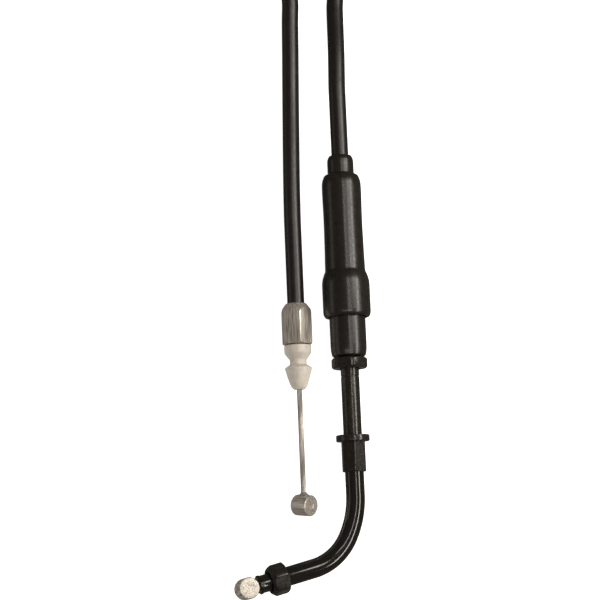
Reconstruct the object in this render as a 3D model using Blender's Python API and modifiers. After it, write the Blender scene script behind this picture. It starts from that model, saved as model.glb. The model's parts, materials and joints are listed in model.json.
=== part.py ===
"""Motorcycle throttle cable with both of its ends, lying flat, +Z up.

The carburettor end is a hexagonal ferrule with a nylon snap fitting, a bare
wire and a barrel nipple. The grip end is an in-line adjuster under two rubber
boots, then a threaded tube, a crimped collar and a bent pipe with a union nut
and a second nipple. The cable between them is wound into a coil held by ties.
Both ends point along -Y, the coil lies at +Y.
"""

import math

import bmesh
import bpy
from mathutils import Matrix, Vector

MM = 0.001
GAP = 0.3 * MM  # clearance between pieces that touch
MERGE = 0.00001
ROUND_SEGMENTS = 32
COIL_SEGMENTS = 48

# Layers of the cable, from the wire outwards.
WIRE_RADIUS = 0.78 * MM
LINER_RADII = (0.98 * MM, 1.28 * MM)
WINDING_RADII = (1.42 * MM, 1.9 * MM)
COVER_RADII = (2.05 * MM, 2.5 * MM)
CABLE_RADIUS = COVER_RADII[1]
WIRE_HOLE_RADIUS = 1.1 * MM

# The model's origin, under the middle of the two ends, from the datum of the places below.
ORIGIN = Vector((0.55 * MM, 11.9 * MM, 0.0))
LEAN = math.radians(2.35)  # both ends lean this far from +Y towards -X

# Carburettor end. Its datum is the ferrule's mouth, and stations run up its axis.
CARB_DATUM = Vector((-1.32 * MM, 10.2 * MM, 4.7 * MM))
FERRULE_LENGTH = 11.9 * MM
FERRULE_ACROSS_FLATS = 8.0 * MM
FERRULE_CORNER_RADIUS = 4.6 * MM
FERRULE_TWIST = math.radians(12)
FERRULE_SOCKET_DEPTH = 5.3 * MM
FERRULE_CABLE_SEAT = 6.2 * MM
COLLAR_RADIUS = 3.92 * MM
NECK_RADIUS = 2.47 * MM
BARB_RADIUS = 3.98 * MM
FITTING_LENGTH = 13.1 * MM
CARB_COVER_END = 36.5 * MM
CARB_NIPPLE_STATION = -46.3 * MM
CARB_NIPPLE_TWIST = math.radians(49.5)
CARB_NIPPLE_TILT = math.radians(6)
CARB_WIRE_TOP = 6.0 * MM

# Grip end. Its datum is the adjuster barrel's mouth, and stations run up its axis.
GRIP_DATUM = Vector((13.55 * MM, 6.3 * MM, 6.9 * MM))
BARREL_RADIUS = 3.8 * MM
BARREL_LENGTH = 44.0 * MM
THREAD_BORE_RADIUS = 3.3 * MM
THREAD_BORE_DEPTH = 22.0 * MM
CAP_SEAT = 25.0 * MM
CAP_RADIUS = 3.05 * MM
CAP_LENGTH = 12.7 * MM
CAP_FLOOR = 1.0 * MM
GRIP_COVER_END = 80.0 * MM
LOWER_BOOT_LENGTH = 15.7 * MM
LOWER_BOOT_RADII = (4.85 * MM, 5.22 * MM)
UPPER_BOOT_BOTTOM = 11.5 * MM
UPPER_BOOT_SHOULDER = 24.2 * MM
UPPER_BOOT_NECK = 53.5 * MM
UPPER_BOOT_TOP = 59.3 * MM
UPPER_BOOT_COLLAR_RADIUS = GRIP_DATUM.z
LOCK_NUT_THICKNESS = 3.1 * MM
LOCK_NUT_ACROSS_FLATS = 9.7 * MM
LOCK_NUT_CORNER_RADIUS = 5.3 * MM
LOCK_NUT_TWIST = math.radians(8.6)
TUBE_RADIUS = 2.65 * MM
THREAD_RADIUS = 2.97 * MM
THREAD_LENGTH = 19.5 * MM
PIPE_BORE_RADIUS = 1.6 * MM
FLANGE_TOP = -22.5 * MM
FLANGE_THICKNESS = 1.85 * MM
FLANGE_RADIUS = 4.8 * MM
CRIMP_BOTTOM = -33.0 * MM
CRIMP_ACROSS_FLATS = 6.5 * MM
CRIMP_CORNER_RADIUS = 3.7 * MM
CRIMP_TWIST = math.radians(3.7)
PIPE_TOP = -28.3 * MM
PIPE_RADIUS = 2.7 * MM
PIPE_WALL = PIPE_RADIUS - PIPE_BORE_RADIUS
PIPE_SIDES_RESOLUTION = 5

# The bend, and the pipe's mouth. Reaches run from the bend's end along the exit.
BEND_START = -39.5 * MM
FIRST_BEND_RADIUS = 26.0 * MM
FIRST_BEND_ANGLE = math.radians(29)
SECOND_BEND_RADIUS = 16.0 * MM
BEND_SEGMENTS = 14
EXIT_TURN = math.radians(16.5)  # from -X towards -Y
EXIT_RISE = math.radians(18)
UNION_REACH = 8.7 * MM
UNION_LENGTH = 4.9 * MM
UNION_ACROSS_FLATS = 8.0 * MM
UNION_CORNER_RADIUS = 4.45 * MM
UNION_TWIST = math.radians(14.5)
UNION_BORE_RADIUS = 2.95 * MM
NOSE_SCALE = 0.92
MOUTH_REACH = 17.0 * MM
BEAD_LENGTH = 0.8 * MM

NIPPLE_RADIUS = 3.0 * MM
NIPPLE_LENGTH = 5.5 * MM
NIPPLE_CHAMFER = 0.25 * MM
GRIP_NIPPLE_REACH = MOUTH_REACH + GAP + NIPPLE_RADIUS
NIPPLE_HOLE_DEPTH = 1.5 * MM
WIRE_PAST_NIPPLE_CENTRE = 1.0 * MM
GRIP_WIRE_TOP = 40.0 * MM

# The stored coil: strands wind round the bundle's middle a quarter turn each lap.
COIL_CENTRE = Vector((3.1 * MM, 153.1 * MM, 7.1 * MM))
COIL_MEAN_RADIUS = 25.0 * MM
STRAND_OFFSET = 3.6 * MM
STRAND_START = math.radians(-60)
STRAND_LAG = math.radians(-90)
COIL_START = math.radians(234.9)
COIL_END = math.radians(304.5)
COIL_LAPS = 3
POINTS_PER_LAP = 16
BUNDLE_RADIUS = STRAND_OFFSET + CABLE_RADIUS
BUNDLE_CORNER = 2.5 * MM
TIE_WIDTH = 2.6 * MM
TIE_THICKNESS = 0.7 * MM
TIE_HEAD = (3.4 * MM, 3.2 * MM)
TIE_ANGLES = {"coil_tie_left": math.radians(160), "coil_tie_right": math.radians(20)}

# The free cable's route between the straight ends and the coil.
ROUTE_LEFT = [
    (-3.05 * MM, 56.0 * MM, 4.6 * MM),
    (-3.22 * MM, 68.0 * MM, 3.8 * MM),
    (-3.38 * MM, 83.0 * MM, 2.8 * MM),
    (-3.5 * MM, 98.0 * MM, 2.55 * MM),
    (-3.6 * MM, 108.0 * MM, 2.6 * MM),
    (-3.6 * MM, 114.4 * MM, 2.8 * MM),
    (-4.5 * MM, 120.4 * MM, 3.15 * MM),
    (-7.95 * MM, 127.0 * MM, 3.6 * MM),
]
ROUTE_RIGHT = [
    (14.2 * MM, 126.1 * MM, 3.9 * MM),
    (10.75 * MM, 119.45 * MM, 3.5 * MM),
    (9.85 * MM, 113.5 * MM, 3.7 * MM),
    (9.9 * MM, 107.0 * MM, 4.5 * MM),
    (10.15 * MM, 97.0 * MM, 6.0 * MM),
]
CURVE_SAMPLES = 8
TUBE_POINT_SPACING = 11 * MM

BLACK_RUBBER = ("black_rubber", (0.022, 0.02, 0.018), 0.5, 0.0)
BLACK_VINYL = ("black_vinyl", (0.014, 0.013, 0.012), 0.32, 0.0)
BLACK_PAINT = ("black_paint", (0.012, 0.011, 0.01), 0.22, 0.0)
BLACK_PLATING = ("black_plating", (0.05, 0.046, 0.042), 0.35, 1.0)
ZINC = ("zinc", (0.52, 0.49, 0.45), 0.38, 1.0)
STEEL = ("steel", (0.6, 0.58, 0.55), 0.3, 1.0)
NYLON = ("nylon", (0.72, 0.67, 0.6), 0.45, 0.0)
WHITE_LINER = ("white_liner", (0.8, 0.8, 0.78), 0.4, 0.0)
TIE_PLASTIC = ("tie_plastic", (0.03, 0.03, 0.03), 0.45, 0.0)


def make_collection(name):
    collection = bpy.data.collections.new(name)
    bpy.context.scene.collection.children.link(collection)
    return collection


def make_material(finish):
    name, colour, roughness, metallic = finish
    material = bpy.data.materials.get(name)
    if material is None:
        material = bpy.data.materials.new(name)
        material.use_nodes = True
        shader = material.node_tree.nodes["Principled BSDF"]
        shader.inputs["Base Color"].default_value = (*colour, 1)
        shader.inputs["Roughness"].default_value = roughness
        shader.inputs["Metallic"].default_value = metallic
        material.diffuse_color = (*colour, 1)
    return material


def make_frame(name, origin, direction):
    """An empty whose Z runs along direction, and whose X leans as far up as it can."""
    along = direction.normalized()
    upward = Vector((0, 0, 1)) - along * along.z
    upward.normalize()
    across = along.cross(upward)
    empty = bpy.data.objects.new(name, None)
    empty.empty_display_size = 5 * MM
    turn = Matrix((upward, across, along)).transposed().to_4x4()
    empty.matrix_world = Matrix.Translation(origin - ORIGIN) @ turn
    parts.objects.link(empty)
    return empty


def add_object(name, data, finish, frame=None, collection=None):
    obj = bpy.data.objects.new(name, data)
    (collection or parts).objects.link(obj)
    obj.parent = frame
    if finish:
        data.materials.append(make_material(finish))
    return obj


def hide_cutter(obj):
    obj.hide_render = True
    obj.display_type = "WIRE"


def turned(name, profile, finish, frame, segments=ROUND_SEGMENTS):
    """Turns a closed profile of (radius, station) points, outer side first, top to bottom."""
    outline = bmesh.new()
    corners = [outline.verts.new((radius, 0, station)) for radius, station in profile]
    for index, corner in enumerate(corners):
        outline.edges.new((corner, corners[(index + 1) % len(corners)]))
    mesh = bpy.data.meshes.new(name)
    outline.to_mesh(mesh)
    outline.free()
    obj = add_object(name, mesh, finish, frame)
    screw = obj.modifiers.new("turn", "SCREW")
    screw.steps = segments
    screw.render_steps = segments
    screw.use_merge_vertices = True
    screw.merge_threshold = MERGE
    screw.use_smooth_shade = True
    return obj


def sleeve(name, radii, bottom, top, finish, frame):
    inner, outer = radii
    return turned(name, [(outer, top), (outer, bottom), (inner, bottom), (inner, top)], finish, frame)


def cylinder_mesh(name, radius, length, segments):
    mesh = bpy.data.meshes.new(name)
    shape = bmesh.new()
    bmesh.ops.create_cone(
        shape, cap_ends=True, segments=segments, radius1=radius, radius2=radius, depth=length
    )
    shape.to_mesh(mesh)
    shape.free()
    return mesh


def cut_with(obj, cutter, operation):
    hide_cutter(cutter)
    boolean = obj.modifiers.new(operation.lower(), "BOOLEAN")
    boolean.operation = operation
    boolean.solver = "EXACT"
    boolean.object = cutter


def hexagonal(name, profile, across_flats, twist, finish, frame):
    """A turned piece cut to a hexagon. Where the profile is narrower it stays round."""
    obj = turned(name, profile, finish, frame)
    stations = [station for _, station in profile]
    length = max(stations) - min(stations) + 2 * MM
    corner_radius = across_flats / 2 / math.cos(math.pi / 6)
    prism_mesh = cylinder_mesh(name + "_hexagon", corner_radius, length, 6)
    prism = add_object(name + "_hexagon", prism_mesh, None, frame, cutters)
    prism.location.z = (max(stations) + min(stations)) / 2
    prism.rotation_euler.z = twist + math.pi / 2  # create_cone puts its first corner on Y
    cut_with(obj, prism, "INTERSECT")
    return obj


def smooth_curve(points, samples):
    """Points along a Catmull-Rom curve through the given points."""
    ends = [points[0] * 2 - points[1], *points, points[-1] * 2 - points[-2]]
    curve = []
    for before, start, end, after in zip(ends, ends[1:], ends[2:], ends[3:]):
        for index in range(samples):
            t = index / samples
            curve.append(
                start
                + (end - before) * (t / 2)
                + (before * 2 - start * 5 + end * 4 - after) * (t**2 / 2)
                + (start * 3 - before - end * 3 + after) * (t**3 / 2)
            )
    return [*curve, points[-1]]


def spread_evenly(points, spacing):
    """About evenly spaced points of a path, with both of its ends."""
    kept = [points[0]]
    travelled = 0.0
    for previous, point in zip(points, points[1:]):
        travelled += (point - previous).length
        if travelled >= spacing:
            kept.append(point)
            travelled = 0.0
    if (kept[-1] - points[-1]).length < spacing / 2:
        kept.pop()
    return [*kept, points[-1]]


def swept(name, points, radius, finish, resolution=3, wall=None, scales=None):
    """A round bar along the points, or a pipe when it has a wall."""
    curve = bpy.data.curves.new(name, "CURVE")
    curve.dimensions = "3D"
    curve.bevel_depth = radius
    curve.bevel_resolution = resolution
    curve.render_resolution_u = 0
    curve.use_fill_caps = wall is None
    spline = curve.splines.new("POLY")
    spline.points.add(len(points) - 1)
    for index, point in enumerate(points):
        spline.points[index].co = (*(point - ORIGIN), 1)
        spline.points[index].radius = scales[index] if scales else 1
    obj = add_object(name, curve, finish)
    if wall:
        solidify = obj.modifiers.new("wall", "SOLIDIFY")
        solidify.thickness = wall
        solidify.offset = -1
    return obj


def nipple(name, station, twist, tilt, wire_side, frame):
    """A barrel across the wire, with a blind hole that the wire's end sits in."""
    barrel = cylinder_mesh(name, NIPPLE_RADIUS, NIPPLE_LENGTH, ROUND_SEGMENTS)
    obj = add_object(name, barrel, ZINC, frame)
    obj.location.z = station
    obj.rotation_euler = (0, math.pi / 2 + tilt, twist)
    bevel = obj.modifiers.new("chamfer", "BEVEL")
    bevel.width = NIPPLE_CHAMFER
    bevel.segments = 1
    bevel.limit_method = "ANGLE"
    bevel.angle_limit = math.radians(40)
    depth = NIPPLE_HOLE_DEPTH + 1.5 * NIPPLE_RADIUS  # it ends outside the barrel
    drill_mesh = cylinder_mesh(name + "_hole", WIRE_RADIUS + GAP, depth, ROUND_SEGMENTS // 2)
    drill = add_object(name + "_hole", drill_mesh, None, frame, cutters)
    drill.location.z = station + wire_side * (depth / 2 - NIPPLE_HOLE_DEPTH)
    cut_with(obj, drill, "DIFFERENCE")
    return obj


def point_on(frame, station):
    """The point at this station on the frame's axis, measured from the datum."""
    return frame.matrix_world @ Vector((0, 0, station)) + ORIGIN


def build_inner_layers(prefix, bottom, top, frame):
    sleeve(prefix + "_cover", COVER_RADII, bottom, top, BLACK_VINYL, frame)
    sleeve(prefix + "_winding", WINDING_RADII, bottom, top, STEEL, frame)
    sleeve(prefix + "_liner", LINER_RADII, bottom, top, WHITE_LINER, frame)


def build_snap_fitting(frame):
    spigot_radius = 2.2 * MM
    profile = [
        (spigot_radius, FERRULE_SOCKET_DEPTH - GAP),
        (spigot_radius, -GAP),
        (COLLAR_RADIUS, -GAP),
        (COLLAR_RADIUS, -2.6 * MM),
        (NECK_RADIUS + 0.25 * MM, -4.2 * MM),
        (NECK_RADIUS, -4.6 * MM),
        (NECK_RADIUS, -5.9 * MM),
        (BARB_RADIUS - 0.15 * MM, -6.75 * MM),
        (BARB_RADIUS, -7.0 * MM),
        (3.22 * MM, -9.75 * MM),
        (2.55 * MM, -11.8 * MM),
        (2.15 * MM, -12.6 * MM),
        (1.6 * MM, -FITTING_LENGTH),
        (WIRE_HOLE_RADIUS, -FITTING_LENGTH),
        (WIRE_HOLE_RADIUS, FERRULE_SOCKET_DEPTH - GAP),
    ]
    turned("snap_fitting", profile, NYLON, frame)


def build_ferrule(frame):
    socket_radius = 2.5 * MM
    seat_radius = CABLE_RADIUS + GAP
    profile = [
        (2.95 * MM, FERRULE_LENGTH),
        (3.4 * MM, FERRULE_LENGTH - 0.5 * MM),
        (4.0 * MM, FERRULE_LENGTH - 1.3 * MM),
        (4.4 * MM, FERRULE_LENGTH - 2.1 * MM),
        (FERRULE_CORNER_RADIUS, FERRULE_LENGTH - 2.9 * MM),
        (FERRULE_CORNER_RADIUS, 0.4 * MM),
        (4.15 * MM, 0),
        (socket_radius, 0),
        (socket_radius, FERRULE_SOCKET_DEPTH),
        (WIRE_HOLE_RADIUS, FERRULE_SOCKET_DEPTH),
        (WIRE_HOLE_RADIUS, FERRULE_CABLE_SEAT),
        (seat_radius, FERRULE_CABLE_SEAT),
        (seat_radius, FERRULE_LENGTH),
    ]
    hexagonal("carb_ferrule", profile, FERRULE_ACROSS_FLATS, FERRULE_TWIST, ZINC, frame)


def build_straight_wire(frame):
    bottom = CARB_NIPPLE_STATION - WIRE_PAST_NIPPLE_CENTRE
    length = CARB_WIRE_TOP - bottom
    mesh = cylinder_mesh("carb_wire", WIRE_RADIUS, length, ROUND_SEGMENTS // 2)
    wire = add_object("carb_wire", mesh, STEEL, frame)
    wire.location.z = bottom + length / 2


def build_carburettor_end(frame):
    build_snap_fitting(frame)
    build_ferrule(frame)
    build_inner_layers("carb", FERRULE_CABLE_SEAT + GAP, CARB_COVER_END, frame)
    build_straight_wire(frame)
    nipple("carb_nipple", CARB_NIPPLE_STATION, CARB_NIPPLE_TWIST, CARB_NIPPLE_TILT, 1, frame)


def build_barrel(frame):
    cap_bore_radius = CAP_RADIUS + GAP
    lip = 1.0 * MM
    profile = [
        (BARREL_RADIUS - 0.4 * MM, BARREL_LENGTH),
        (BARREL_RADIUS, BARREL_LENGTH - 0.6 * MM),
        (BARREL_RADIUS, 0.2 * MM),
        (THREAD_BORE_RADIUS, 0.2 * MM),
        (THREAD_BORE_RADIUS, THREAD_BORE_DEPTH),
        (WIRE_HOLE_RADIUS, THREAD_BORE_DEPTH + 1.2 * MM),
        (WIRE_HOLE_RADIUS, CAP_SEAT),
        (cap_bore_radius, CAP_SEAT),
        (cap_bore_radius, BARREL_LENGTH - 2 * lip),
        (CABLE_RADIUS + GAP, BARREL_LENGTH - lip),
        (CABLE_RADIUS + GAP, BARREL_LENGTH),
    ]
    turned("adjuster_barrel", profile, BLACK_PLATING, frame)


def build_conduit_cap(frame):
    bottom = CAP_SEAT + GAP
    inner_radius = CABLE_RADIUS + 0.2 * MM
    profile = [
        (CAP_RADIUS, bottom + CAP_LENGTH),
        (CAP_RADIUS, bottom),
        (WIRE_HOLE_RADIUS, bottom),
        (WIRE_HOLE_RADIUS, bottom + CAP_FLOOR),
        (inner_radius, bottom + CAP_FLOOR),
        (inner_radius, bottom + CAP_LENGTH),
    ]
    turned("conduit_cap", profile, ZINC, frame)


def build_lower_boot(frame):
    mouth_radius, body_radius = LOWER_BOOT_RADII
    inner_radius = BARREL_RADIUS + GAP
    profile = [
        (body_radius - 0.5 * MM, LOWER_BOOT_LENGTH),
        (body_radius, LOWER_BOOT_LENGTH - 0.6 * MM),
        (body_radius, 3.2 * MM),
        (5.15 * MM, 1.6 * MM),
        (mouth_radius, 0.35 * MM),
        (mouth_radius - 0.3 * MM, 0.1 * MM),
        (inner_radius, 0.1 * MM),
        (inner_radius, LOWER_BOOT_LENGTH),
    ]
    turned("lower_boot", profile, BLACK_RUBBER, frame)


def build_upper_boot(frame):
    collar = UPPER_BOOT_COLLAR_RADIUS
    neck_bore = CABLE_RADIUS + GAP
    body_bore = BARREL_RADIUS + 0.4 * MM
    mouth_bore = LOWER_BOOT_RADII[1] + 0.4 * MM
    bore_step = UPPER_BOOT_SHOULDER - 1.6 * MM
    profile = [
        (3.2 * MM, UPPER_BOOT_TOP),
        (3.6 * MM, UPPER_BOOT_TOP - 0.5 * MM),
        (3.85 * MM, UPPER_BOOT_TOP - 1.6 * MM),
        (3.85 * MM, UPPER_BOOT_NECK + 0.3 * MM),
        (4.7 * MM, UPPER_BOOT_NECK),
        (5.35 * MM, UPPER_BOOT_NECK - 0.7 * MM),
        (5.72 * MM, UPPER_BOOT_NECK - 2.4 * MM),
        (5.74 * MM, 48.0 * MM),
        (5.6 * MM, 40.0 * MM),
        (5.72 * MM, 31.0 * MM),
        (5.85 * MM, UPPER_BOOT_SHOULDER + 0.5 * MM),
        (6.2 * MM, UPPER_BOOT_SHOULDER),
        (collar - 0.25 * MM, UPPER_BOOT_SHOULDER - 0.9 * MM),
        (collar, UPPER_BOOT_SHOULDER - 2.4 * MM),
        (collar, UPPER_BOOT_BOTTOM + 1.6 * MM),
        (collar - 0.2 * MM, UPPER_BOOT_BOTTOM + 0.5 * MM),
        (collar - 0.6 * MM, UPPER_BOOT_BOTTOM),
        (mouth_bore, UPPER_BOOT_BOTTOM),
        (mouth_bore, bore_step),
        (body_bore, bore_step + 0.8 * MM),
        (body_bore, UPPER_BOOT_NECK - 2 * MM),
        (neck_bore, UPPER_BOOT_NECK - 1 * MM),
        (neck_bore, UPPER_BOOT_TOP),
    ]
    turned("upper_boot", profile, BLACK_RUBBER, frame)


def build_lock_nut(frame):
    top = -GAP
    bottom = top - LOCK_NUT_THICKNESS
    chamfer = 0.55 * MM
    face_radius = LOCK_NUT_ACROSS_FLATS / 2 - 0.15 * MM
    profile = [
        (face_radius, top),
        (LOCK_NUT_CORNER_RADIUS, top - chamfer),
        (LOCK_NUT_CORNER_RADIUS, bottom + chamfer),
        (face_radius, bottom),
        (THREAD_BORE_RADIUS, bottom),
        (THREAD_BORE_RADIUS, top),
    ]
    hexagonal("lock_nut", profile, LOCK_NUT_ACROSS_FLATS, LOCK_NUT_TWIST, BLACK_PLATING, frame)


def build_threaded_tube(frame):
    chamfer = 0.6 * MM
    profile = [
        (TUBE_RADIUS - 0.3 * MM, THREAD_LENGTH),
        (THREAD_RADIUS, THREAD_LENGTH - chamfer),
        (THREAD_RADIUS, 0),
        (TUBE_RADIUS, -chamfer),
        (TUBE_RADIUS, PIPE_TOP + GAP),
        (PIPE_BORE_RADIUS, PIPE_TOP + GAP),
        (PIPE_BORE_RADIUS, THREAD_LENGTH),
    ]
    turned("threaded_tube", profile, BLACK_PLATING, frame)


def build_crimp_collar(frame):
    """Two steps of one piece: a round flange above a hexagonal sleeve."""
    flange_bottom = FLANGE_TOP - FLANGE_THICKNESS
    bore_radius = TUBE_RADIUS + GAP
    sleeve_radius = CRIMP_CORNER_RADIUS
    hexagon_profile = [
        (sleeve_radius, flange_bottom + 0.5 * MM),
        (sleeve_radius, CRIMP_BOTTOM + 0.35 * MM),
        (sleeve_radius - 0.45 * MM, CRIMP_BOTTOM),
        (bore_radius, CRIMP_BOTTOM),
        (bore_radius, flange_bottom + 0.5 * MM),
    ]
    flange_profile = [
        (FLANGE_RADIUS - 0.25 * MM, FLANGE_TOP),
        (FLANGE_RADIUS, FLANGE_TOP - 0.3 * MM),
        (FLANGE_RADIUS, flange_bottom + 0.3 * MM),
        (FLANGE_RADIUS - 0.25 * MM, flange_bottom),
        (bore_radius, flange_bottom),
        (bore_radius, FLANGE_TOP),
    ]
    collar = hexagonal(
        "crimp_collar", hexagon_profile, CRIMP_ACROSS_FLATS, CRIMP_TWIST, BLACK_PLATING, frame
    )
    flange = turned("crimp_flange", flange_profile, None, frame)
    parts.objects.unlink(flange)
    cutters.objects.link(flange)
    cut_with(collar, flange, "UNION")


def bend_frame(grip_frame):
    """The start of the bend, and the two directions that span its plane."""
    start = point_on(grip_frame, BEND_START)
    forward = start - point_on(grip_frame, 0)
    forward.normalize()
    sideways = EXIT - forward * EXIT.dot(forward)
    sideways.normalize()
    return start, forward, sideways


def bend_points(grip_frame):
    """A bend that tightens once on its way, walked in equal steps of heading."""
    start, forward, sideways = bend_frame(grip_frame)
    step = math.acos(EXIT.dot(forward)) / BEND_SEGMENTS
    points = [start]
    for index in range(BEND_SEGMENTS):
        heading = (index + 0.5) * step
        radius = FIRST_BEND_RADIUS if heading < FIRST_BEND_ANGLE else SECOND_BEND_RADIUS
        chord = 2 * radius * math.sin(step / 2)
        direction = forward * math.cos(heading) + sideways * math.sin(heading)
        points.append(points[-1] + direction * chord)
    return points


def build_elbow_pipe(grip_frame, bend):
    """The pipe, drawn in to a nose past the nut, with a rolled bead at its mouth."""
    end = bend[-1]
    nose_start = UNION_REACH + UNION_LENGTH / 2
    bead_start = MOUTH_REACH - BEAD_LENGTH
    rounding = 0.25 * MM
    nose = [
        (nose_start, 1),
        (nose_start + MM, NOSE_SCALE),
        (bead_start, NOSE_SCALE),
        (bead_start + rounding, 1),
        (MOUTH_REACH - rounding, 1),
        (MOUTH_REACH, NOSE_SCALE),
    ]
    straight = [point_on(grip_frame, PIPE_TOP), *bend]
    points = [*straight, *[end + EXIT * reach for reach, _ in nose]]
    scales = [*[1] * len(straight), *[scale for _, scale in nose]]
    swept("elbow_pipe", points, PIPE_RADIUS, BLACK_PAINT, PIPE_SIDES_RESOLUTION, PIPE_WALL, scales)


def build_bent_core(grip_frame, bend):
    end = bend[-1]
    liner_top = point_on(grip_frame, THREAD_LENGTH)
    liner_path = [liner_top, *bend, end + EXIT * (MOUTH_REACH - BEAD_LENGTH)]
    inner, outer = LINER_RADII
    swept("elbow_liner", liner_path, outer, WHITE_LINER, 3, outer - inner)
    wire_end = end + EXIT * (GRIP_NIPPLE_REACH + WIRE_PAST_NIPPLE_CENTRE)
    wire_path = [point_on(grip_frame, GRIP_WIRE_TOP), *bend, wire_end]
    swept("grip_wire", wire_path, WIRE_RADIUS, STEEL)


def build_union_nut(exit_frame):
    back = UNION_REACH
    front = UNION_REACH + UNION_LENGTH
    front_face_radius = 3.5 * MM
    profile = [
        (front_face_radius, front),
        (UNION_CORNER_RADIUS, front - 1.2 * MM),
        (UNION_CORNER_RADIUS, back + 0.4 * MM),
        (UNION_ACROSS_FLATS / 2 - 0.1 * MM, back),
        (UNION_BORE_RADIUS, back),
        (UNION_BORE_RADIUS, front),
    ]
    hexagonal("union_nut", profile, UNION_ACROSS_FLATS, UNION_TWIST, BLACK_PLATING, exit_frame)


def build_grip_end(frame):
    build_barrel(frame)
    build_conduit_cap(frame)
    build_inner_layers("grip", CAP_SEAT + CAP_FLOOR + 2 * GAP, GRIP_COVER_END, frame)
    build_lower_boot(frame)
    build_upper_boot(frame)
    build_lock_nut(frame)
    build_threaded_tube(frame)
    build_crimp_collar(frame)
    bend = bend_points(frame)
    build_elbow_pipe(frame, bend)
    build_bent_core(frame, bend)
    exit_frame = make_frame("exit_frame", bend[-1], EXIT)
    build_union_nut(exit_frame)
    nipple("grip_nipple", GRIP_NIPPLE_REACH, 0, 0, -1, exit_frame)


def coil_points():
    """Every strand point, clockwise seen from above, from the left leg to the right one."""
    sweep = (COIL_START - COIL_END) % math.tau + COIL_LAPS * math.tau
    count = round(sweep / math.tau * POINTS_PER_LAP)
    points = []
    for index in range(count + 1):
        travelled = sweep * index / count
        around = COIL_START - travelled
        strand = STRAND_START + STRAND_LAG * travelled / math.tau
        radius = COIL_MEAN_RADIUS + STRAND_OFFSET * math.cos(strand)
        height = STRAND_OFFSET * math.sin(strand)
        points.append(COIL_CENTRE + Vector((radius * math.cos(around), radius * math.sin(around), height)))
    return points


def build_free_cable(carb_frame, grip_frame):
    start = point_on(carb_frame, CARB_COVER_END + GAP)
    end = point_on(grip_frame, GRIP_COVER_END + GAP)
    left = [Vector(point) for point in ROUTE_LEFT]
    right = [Vector(point) for point in ROUTE_RIGHT]
    route = smooth_curve([start, *left, *coil_points(), *right, end], CURVE_SAMPLES)
    keep_out = COIL_MEAN_RADIUS + BUNDLE_RADIUS + CABLE_RADIUS + GAP
    near_coil = [index for index, point in enumerate(route) if (point - COIL_CENTRE).xy.length < keep_out]
    runs = {"cable_run_left": route[: near_coil[0]], "cable_run_right": route[near_coil[-1] + 1 :]}
    for name, points in runs.items():
        swept(name, spread_evenly(points, TUBE_POINT_SPACING), CABLE_RADIUS, BLACK_VINYL)


def build_coil(frame):
    outer = COIL_MEAN_RADIUS + BUNDLE_RADIUS
    inner = COIL_MEAN_RADIUS - BUNDLE_RADIUS
    top = BUNDLE_RADIUS
    cut = BUNDLE_CORNER
    profile = [
        (outer - cut, top),
        (outer, top - cut),
        (outer, cut - top),
        (outer - cut, -top),
        (inner + cut, -top),
        (inner, cut - top),
        (inner, top - cut),
        (inner + cut, top),
    ]
    turned("cable_coil", profile, BLACK_VINYL, frame, COIL_SEGMENTS)


def tie_outline(half_size, corner):
    """Corners of a square with cut corners, anticlockwise from the right-hand side."""
    low = half_size - corner
    return [
        (half_size, -low),
        (half_size, low),
        (low, half_size),
        (-low, half_size),
        (-half_size, low),
        (-half_size, -low),
        (-low, -half_size),
        (low, -half_size),
    ]


def build_tie(name, angle, coil_frame):
    """A strap round the bundle, whose locking head stands out on the coil's outer side."""
    inner_half = BUNDLE_RADIUS + GAP
    outer_half = inner_half + TIE_THICKNESS
    corner = BUNDLE_CORNER
    head_width, head_depth = TIE_HEAD
    outer = tie_outline(outer_half, corner)
    outer[1:1] = [
        (outer_half, -head_width / 2),
        (outer_half + head_depth, -head_width / 2),
        (outer_half + head_depth, head_width / 2),
        (outer_half, head_width / 2),
    ]
    curve = bpy.data.curves.new(name, "CURVE")
    curve.dimensions = "2D"
    curve.fill_mode = "BOTH"
    curve.extrude = TIE_WIDTH / 2
    curve.render_resolution_u = 0
    for outline in (outer, tie_outline(inner_half, corner)):
        spline = curve.splines.new("POLY")
        spline.points.add(len(outline) - 1)
        spline.use_cyclic_u = True
        for index, (across, height) in enumerate(outline):
            spline.points[index].co = (across, height, 0, 1)
    tie = add_object(name, curve, TIE_PLASTIC, coil_frame)
    tie.location = (COIL_MEAN_RADIUS * math.cos(angle), COIL_MEAN_RADIUS * math.sin(angle), 0)
    tie.rotation_euler = (math.pi / 2, 0, angle)


for old in list(bpy.data.objects):
    bpy.data.objects.remove(old)

parts = make_collection("throttle_cable")
cutters = make_collection("cutters")

AXIS = Vector((-math.sin(LEAN), math.cos(LEAN), 0))
EXIT = Vector(
    (
        -math.cos(EXIT_RISE) * math.cos(EXIT_TURN),
        -math.cos(EXIT_RISE) * math.sin(EXIT_TURN),
        math.sin(EXIT_RISE),
    )
)
carb_frame = make_frame("carb_frame", CARB_DATUM, AXIS)
grip_frame = make_frame("grip_frame", GRIP_DATUM, AXIS)
build_carburettor_end(carb_frame)
build_grip_end(grip_frame)
build_free_cable(carb_frame, grip_frame)

coil_frame = bpy.data.objects.new("coil_frame", None)
coil_frame.location = COIL_CENTRE - ORIGIN
parts.objects.link(coil_frame)
build_coil(coil_frame)
for tie_name, tie_angle in TIE_ANGLES.items():
    build_tie(tie_name, tie_angle, coil_frame)
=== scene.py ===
"""The looks of a motorcycle throttle cable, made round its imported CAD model.

Places are in the model's own frame, in metres. Each of the cable's two ends has a
straight axis: the profiles of its turned pieces are in millimetres, as
(radius, station, rounding), and stations run along that axis towards the cable.
"""

import json
import math

import bmesh
import bpy
from mathutils import Euler, Matrix, Vector


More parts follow.
